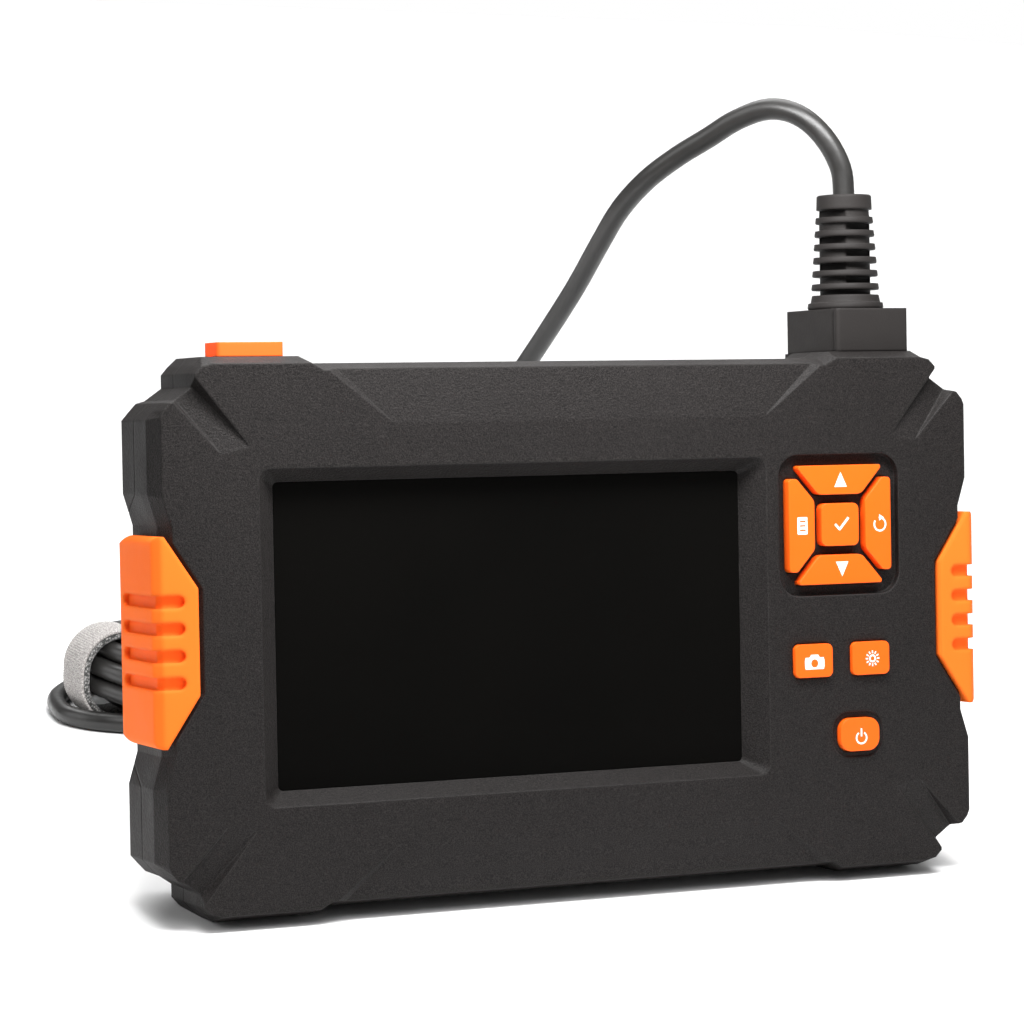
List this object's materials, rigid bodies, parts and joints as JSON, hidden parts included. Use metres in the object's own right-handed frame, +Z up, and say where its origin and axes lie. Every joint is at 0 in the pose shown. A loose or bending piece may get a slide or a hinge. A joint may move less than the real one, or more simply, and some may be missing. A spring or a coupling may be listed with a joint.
{
  "type": "inspection camera",
  "caption": "Handheld inspection camera: casing with a display window, keys and side grips, and a plug-in camera probe on a coiled semi-rigid cable.",
  "frame": {"origin": "on the base face that the casing stands on, on its centre line, 12 mm behind the bottom edge of the parting line", "axes": "+X to the right as the screen is read, +Y from the screen towards the back, +Z up; the casing leans back 9 degrees on its base face"},
  "size_m": [0.1776, 0.2063, 0.1552],
  "materials": {
    "casing": "grained, matt black",
    "grip_orange": "moulded soft-touch, satin",
    "cover_orange": "satin",
    "key_orange": "smooth satin",
    "screw_steel": "satin",
    "window_glass": "glossy, tinted almost black",
    "gasket_black": "matt",
    "lcd": "glossy",
    "white_plastic": "satin",
    "ribbon_amber": "glossy film",
    "board_green": "solder resist",
    "dark_plastic": "satin",
    "switch_metal": "satin",
    "battery_wrap": "foil film",
    "contact_gold": "plated",
    "plug_black": "fine grain, satin black",
    "cable_black": "smooth, semi-gloss sheath",
    "strap_grey": "woven hook-and-loop band",
    "head_steel": "turned, satin",
    "lens_glass": "clear",
    "led_white": "clear"
  },
  "bodies": {
    "handset": {"front_shell": "casing", "rear_shell": "casing", "left_grip": "grip_orange", "right_grip": "grip_orange", "cover_strap": "cover_orange", "case_screws": "screw_steel", "display_window": "window_glass", "window_gasket": "gasket_black", "lcd_panel": "lcd", "backlight": "white_plastic", "display_ribbon": "ribbon_amber", "main_board": "board_green", "board_screws": "screw_steel", "board_chips": "dark_plastic", "switch_bodies": "switch_metal", "battery_pack": "battery_wrap", "battery_pad": "gasket_black", "battery_connector": "white_plastic", "usb_port": "switch_metal", "card_slot": "switch_metal", "probe_socket": "dark_plastic", "socket_contacts": "contact_gold"},
    "up_key": {"key_up": "key_orange", "plunger_up": "dark_plastic"},
    "down_key": {"key_down": "key_orange", "plunger_down": "dark_plastic"},
    "menu_key": {"key_menu": "key_orange", "plunger_menu": "dark_plastic"},
    "rotate_key": {"key_rotate": "key_orange", "plunger_rotate": "dark_plastic"},
    "ok_key": {"key_ok": "key_orange", "plunger_ok": "dark_plastic"},
    "photo_key": {"key_photo": "key_orange", "plunger_photo": "dark_plastic"},
    "light_key": {"key_light": "key_orange", "plunger_light": "dark_plastic"},
    "power_key": {"key_power": "key_orange", "plunger_power": "dark_plastic"},
    "port_cover": {"port_cover": "cover_orange"},
    "probe": {"plug_body": "plug_black", "plug_contacts": "contact_gold", "strain_relief": "plug_black", "cable": "cable_black", "cable_coil": "cable_black", "cable_tail": "cable_black", "tie_strap": "strap_grey", "head_sleeve": "head_steel", "head_barrel": "head_steel", "head_lens": "lens_glass", "led_ring": "dark_plastic", "head_leds": "led_white"}
  },
  "joints": [
    {"name": "up_key_press", "type": "slide", "parent": "handset", "child": "up_key", "axis": [0, 0.9877, -0.1564], "range_m": [0, 0.0006], "stiffness_N_per_m": 1200, "springref_m": -0.0004},
    {"name": "down_key_press", "type": "slide", "parent": "handset", "child": "down_key", "axis": [0, 0.9877, -0.1564], "range_m": [0, 0.0006], "stiffness_N_per_m": 1200, "springref_m": -0.0004},
    {"name": "menu_key_press", "type": "slide", "parent": "handset", "child": "menu_key", "axis": [0, 0.9877, -0.1564], "range_m": [0, 0.0006], "stiffness_N_per_m": 1200, "springref_m": -0.0004},
    {"name": "rotate_key_press", "type": "slide", "parent": "handset", "child": "rotate_key", "axis": [0, 0.9877, -0.1564], "range_m": [0, 0.0006], "stiffness_N_per_m": 1200, "springref_m": -0.0004},
    {"name": "ok_key_press", "type": "slide", "parent": "handset", "child": "ok_key", "axis": [0, 0.9877, -0.1564], "range_m": [0, 0.0006], "stiffness_N_per_m": 1200, "springref_m": -0.0004},
    {"name": "photo_key_press", "type": "slide", "parent": "handset", "child": "photo_key", "axis": [0, 0.9877, -0.1564], "range_m": [0, 0.0006], "stiffness_N_per_m": 1200, "springref_m": -0.0004},
    {"name": "light_key_press", "type": "slide", "parent": "handset", "child": "light_key", "axis": [0, 0.9877, -0.1564], "range_m": [0, 0.0006], "stiffness_N_per_m": 1200, "springref_m": -0.0004},
    {"name": "power_key_press", "type": "slide", "parent": "handset", "child": "power_key", "axis": [0, 0.9877, -0.1564], "range_m": [0, 0.0006], "stiffness_N_per_m": 1200, "springref_m": -0.0004},
    {"name": "port_cover_hinge", "type": "hinge", "parent": "handset", "child": "port_cover", "pos_m": [-0.0731, 0.00446, 0.10522], "axis": [0, -0.9877, 0.1564], "range_deg": [0, 105]},
    {"name": "probe_plug_slide", "type": "slide", "parent": "handset", "child": "probe", "axis": [0, 0.1564, 0.9877], "range_m": [0, 0.0105]}
  ]
}
